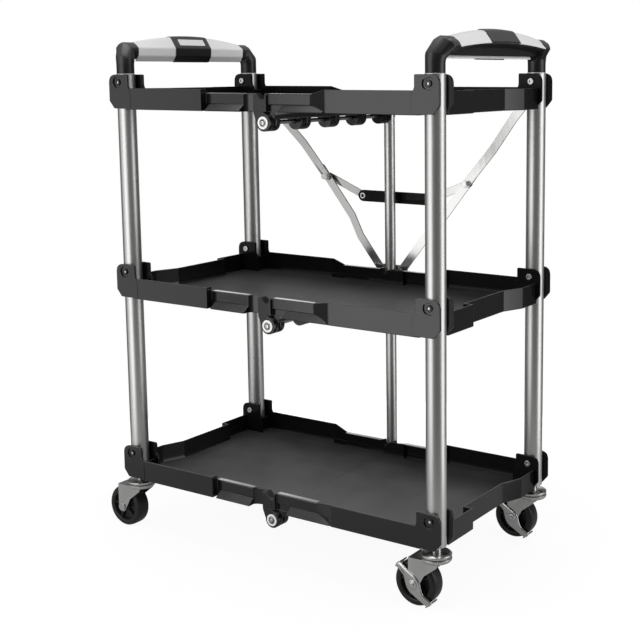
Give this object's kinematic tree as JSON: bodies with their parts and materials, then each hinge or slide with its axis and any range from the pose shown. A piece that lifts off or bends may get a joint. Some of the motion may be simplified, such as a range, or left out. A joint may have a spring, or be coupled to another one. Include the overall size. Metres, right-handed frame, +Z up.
{
  "type": "folding cart",
  "caption": "Folding utility cart: centre-hinged tray shelves on tube posts, elbow braces with a release bar, end handles and swivel casters, some braked.",
  "frame": {"origin": "on the floor under the middle of the cart's footprint, with the cart unfolded", "axes": "+X along the shelves towards the braked casters, +Y from the open front to the braces, +Z up"},
  "size_m": [0.7368, 0.4006, 0.8936],
  "materials": {
    "post_steel": "satin silver",
    "tray_plastic": "matte, faintly grained",
    "handle_plastic": "satin",
    "cover_plastic": "satin silver",
    "tyre_rubber": "matte",
    "bar_plastic": "satin",
    "zinc_steel": "bright zinc plated"
  },
  "bodies": {
    "left_frame": {"post_front_left": "post_steel", "post_back_left": "post_steel", "handle_frame_left": "handle_plastic", "handle_cover_left": "cover_plastic", "handle_insert_left": "handle_plastic", "caster_head_front_left": "zinc_steel", "caster_head_back_left": "zinc_steel", "bolt_front_left_bottom": "zinc_steel", "bolt_front_left_middle": "zinc_steel", "bolt_front_left_top": "zinc_steel", "bolt_back_left_bottom": "zinc_steel", "bolt_back_left_middle": "zinc_steel", "bolt_back_left_top": "zinc_steel"},
    "right_frame": {"post_front_right": "post_steel", "post_back_right": "post_steel", "handle_frame_right": "handle_plastic", "handle_cover_right": "cover_plastic", "handle_insert_right": "handle_plastic", "caster_head_front_right": "zinc_steel", "caster_head_back_right": "zinc_steel", "bolt_front_right_bottom": "zinc_steel", "bolt_front_right_middle": "zinc_steel", "bolt_front_right_top": "zinc_steel", "bolt_back_right_bottom": "zinc_steel", "bolt_back_right_middle": "zinc_steel", "bolt_back_right_top": "zinc_steel"},
    "bottom_left_half": {"shelf_bottom_left": "tray_plastic", "hinge_rod_bottom": "zinc_steel"},
    "bottom_right_half": {"shelf_bottom_right": "tray_plastic"},
    "middle_left_half": {"shelf_middle_left": "tray_plastic", "hinge_rod_middle": "zinc_steel"},
    "middle_right_half": {"shelf_middle_right": "tray_plastic"},
    "top_left_half": {"shelf_top_left": "tray_plastic", "hinge_rod_top": "zinc_steel"},
    "top_right_half": {"shelf_top_right": "tray_plastic"},
    "centre_post": {"post_centre": "post_steel", "brace_foot_plate": "zinc_steel"},
    "upper_brace_left": {"brace_upper_left": "zinc_steel"},
    "lower_brace_left": {"brace_lower_left": "zinc_steel"},
    "short_link_left": {"brace_short_left": "zinc_steel"},
    "upper_brace_right": {"brace_upper_right": "zinc_steel"},
    "lower_brace_right": {"brace_lower_right": "zinc_steel"},
    "short_link_right": {"brace_short_right": "zinc_steel"},
    "release_bar": {"release_bar": "bar_plastic"},
    "fork_front_left": {"caster_fork_front_left": "zinc_steel", "caster_axle_front_left": "zinc_steel"},
    "wheel_front_left": {"caster_wheel_front_left": "tyre_rubber"},
    "fork_back_left": {"caster_fork_back_left": "zinc_steel", "caster_axle_back_left": "zinc_steel"},
    "wheel_back_left": {"caster_wheel_back_left": "tyre_rubber"},
    "fork_front_right": {"caster_fork_front_right": "zinc_steel", "caster_axle_front_right": "zinc_steel"},
    "wheel_front_right": {"caster_wheel_front_right": "tyre_rubber"},
    "pedal_front_right": {"brake_pedal_front_right": "zinc_steel"},
    "fork_back_right": {"caster_fork_back_right": "zinc_steel", "caster_axle_back_right": "zinc_steel"},
    "wheel_back_right": {"caster_wheel_back_right": "tyre_rubber"},
    "pedal_back_right": {"brake_pedal_back_right": "zinc_steel"}
  },
  "joints": [
    {"name": "fold", "type": "hinge", "parent": "left_frame", "child": "top_left_half", "pos_m": [-0.2989, -0.0133, 0.81], "axis": [0, -1, 0], "range_deg": [0, 88.5]},
    {"name": "top_centre_hinge", "type": "hinge", "parent": "top_left_half", "child": "top_right_half", "pos_m": [0.0186, -0.0133, 0.74625], "axis": [0, -1, 0], "range_deg": [-177.02, 0.02]},
    {"name": "middle_left_fold", "type": "hinge", "parent": "left_frame", "child": "middle_left_half", "pos_m": [-0.2989, -0.0133, 0.4775], "axis": [0, -1, 0], "range_deg": [-0.02, 88.52]},
    {"name": "middle_centre_hinge", "type": "hinge", "parent": "middle_left_half", "child": "middle_right_half", "pos_m": [0.0186, -0.0133, 0.41375], "axis": [0, -1, 0], "range_deg": [-177.02, 0.02]},
    {"name": "bottom_left_fold", "type": "hinge", "parent": "left_frame", "child": "bottom_left_half", "pos_m": [-0.2989, -0.0133, 0.145], "axis": [0, -1, 0], "range_deg": [-0.02, 88.52]},
    {"name": "bottom_centre_hinge", "type": "hinge", "parent": "bottom_left_half", "child": "bottom_right_half", "pos_m": [0.0186, -0.0133, 0.08125], "axis": [0, -1, 0], "range_deg": [-177.02, 0.02]},
    {"name": "right_frame_fold", "type": "hinge", "parent": "top_right_half", "child": "right_frame", "pos_m": [0.3361, -0.0133, 0.81], "axis": [0, -1, 0], "range_deg": [-0.02, 88.52]},
    {"name": "centre_post_fold", "type": "hinge", "parent": "top_left_half", "child": "centre_post", "pos_m": [0.0186, -0.0133, 0.74625], "axis": [0, -1, 0], "range_deg": [-88.52, 0.02]},
    {"name": "upper_brace_left_turn", "type": "hinge", "parent": "left_frame", "child": "upper_brace_left", "pos_m": [-0.2989, -0.0133, 0.81], "axis": [0, -1, 0], "range_deg": [-0.02, 131.05]},
    {"name": "lower_brace_left_turn", "type": "hinge", "parent": "centre_post", "child": "lower_brace_left", "pos_m": [-0.0024, -0.0133, 0.453], "axis": [0, -1, 0], "range_deg": [-34.33, 0.02]},
    {"name": "short_link_left_turn", "type": "hinge", "parent": "lower_brace_left", "child": "short_link_left", "pos_m": [-0.1394, -0.0133, 0.625], "axis": [0, -1, 0], "range_deg": [-58.8, 0.02]},
    {"name": "upper_brace_right_turn", "type": "hinge", "parent": "right_frame", "child": "upper_brace_right", "pos_m": [0.3361, -0.0133, 0.81], "axis": [0, -1, 0], "range_deg": [-131.05, 0.02]},
    {"name": "lower_brace_right_turn", "type": "hinge", "parent": "centre_post", "child": "lower_brace_right", "pos_m": [0.0396, -0.0133, 0.453], "axis": [0, -1, 0], "range_deg": [-0.02, 34.33]},
    {"name": "short_link_right_turn", "type": "hinge", "parent": "lower_brace_right", "child": "short_link_right", "pos_m": [0.1766, -0.0133, 0.625], "axis": [0, -1, 0], "range_deg": [-0.02, 58.8]},
    {"name": "release_bar_slide", "type": "slide", "parent": "centre_post", "child": "release_bar", "axis": [0, 0, 1], "range_m": [-0.00001, 0.00086]},
    {"name": "swivel_front_left", "type": "hinge", "parent": "left_frame", "child": "fork_front_left", "pos_m": [-0.2989, -0.1758, 0.085], "axis": [0, 0, 1], "continuous": true},
    {"name": "roll_front_left", "type": "hinge", "parent": "fork_front_left", "child": "wheel_front_left", "pos_m": [-0.3309, -0.1758, 0.0375], "axis": [0, 1, 0], "continuous": true},
    {"name": "swivel_back_left", "type": "hinge", "parent": "left_frame", "child": "fork_back_left", "pos_m": [-0.2989, 0.1492, 0.085], "axis": [0, 0, 1], "continuous": true},
    {"name": "roll_back_left", "type": "hinge", "parent": "fork_back_left", "child": "wheel_back_left", "pos_m": [-0.3309, 0.1492, 0.0375], "axis": [0, 1, 0], "continuous": true},
    {"name": "swivel_front_right", "type": "hinge", "parent": "right_frame", "child": "fork_front_right", "pos_m": [0.3361, -0.1758, 0.085], "axis": [0, 0, 1], "continuous": true},
    {"name": "roll_front_right", "type": "hinge", "parent": "fork_front_right", "child": "wheel_front_right", "pos_m": [0.3041, -0.1758, 0.0375], "axis": [0, 1, 0], "continuous": true},
    {"name": "brake_front_right", "type": "hinge", "parent": "fork_front_right", "child": "pedal_front_right", "pos_m": [0.3041, -0.1758, 0.0375], "axis": [0, -1, 0], "range_deg": [0, 20]},
    {"name": "swivel_back_right", "type": "hinge", "parent": "right_frame", "child": "fork_back_right", "pos_m": [0.3361, 0.1492, 0.085], "axis": [0, 0, 1], "continuous": true},
    {"name": "roll_back_right", "type": "hinge", "parent": "fork_back_right", "child": "wheel_back_right", "pos_m": [0.3041, 0.1492, 0.0375], "axis": [0, 1, 0], "continuous": true},
    {"name": "brake_back_right", "type": "hinge", "parent": "fork_back_right", "child": "pedal_back_right", "pos_m": [0.3041, 0.1492, 0.0375], "axis": [0, -1, 0], "range_deg": [0, 20]}
  ],
  "couplings": [
    {"joint": "top_centre_hinge", "follows": "fold", "ratio": -2},
    {"joint": "middle_left_fold", "follows": "fold", "ratio": 1},
    {"joint": "middle_centre_hinge", "follows": "fold", "ratio": -2},
    {"joint": "bottom_left_fold", "follows": "fold", "ratio": 1},
    {"joint": "bottom_centre_hinge", "follows": "fold", "ratio": -2},
    {"joint": "right_frame_fold", "follows": "fold", "ratio": 1},
    {"joint": "centre_post_fold", "follows": "fold", "ratio": -1},
    {"joint": "upper_brace_left_turn", "follows": "fold", "ratio": 1.4806},
    {"joint": "lower_brace_left_turn", "follows": "fold", "ratio": -0.38771},
    {"joint": "short_link_left_turn", "follows": "fold", "ratio": -0.6642},
    {"joint": "upper_brace_right_turn", "follows": "fold", "ratio": -1.4806},
    {"joint": "lower_brace_right_turn", "follows": "fold", "ratio": 0.38771},
    {"joint": "short_link_right_turn", "follows": "fold", "ratio": 0.6642},
    {"joint": "release_bar_slide", "follows": "fold", "m_per_rad": 0.00055045}
  ]
}
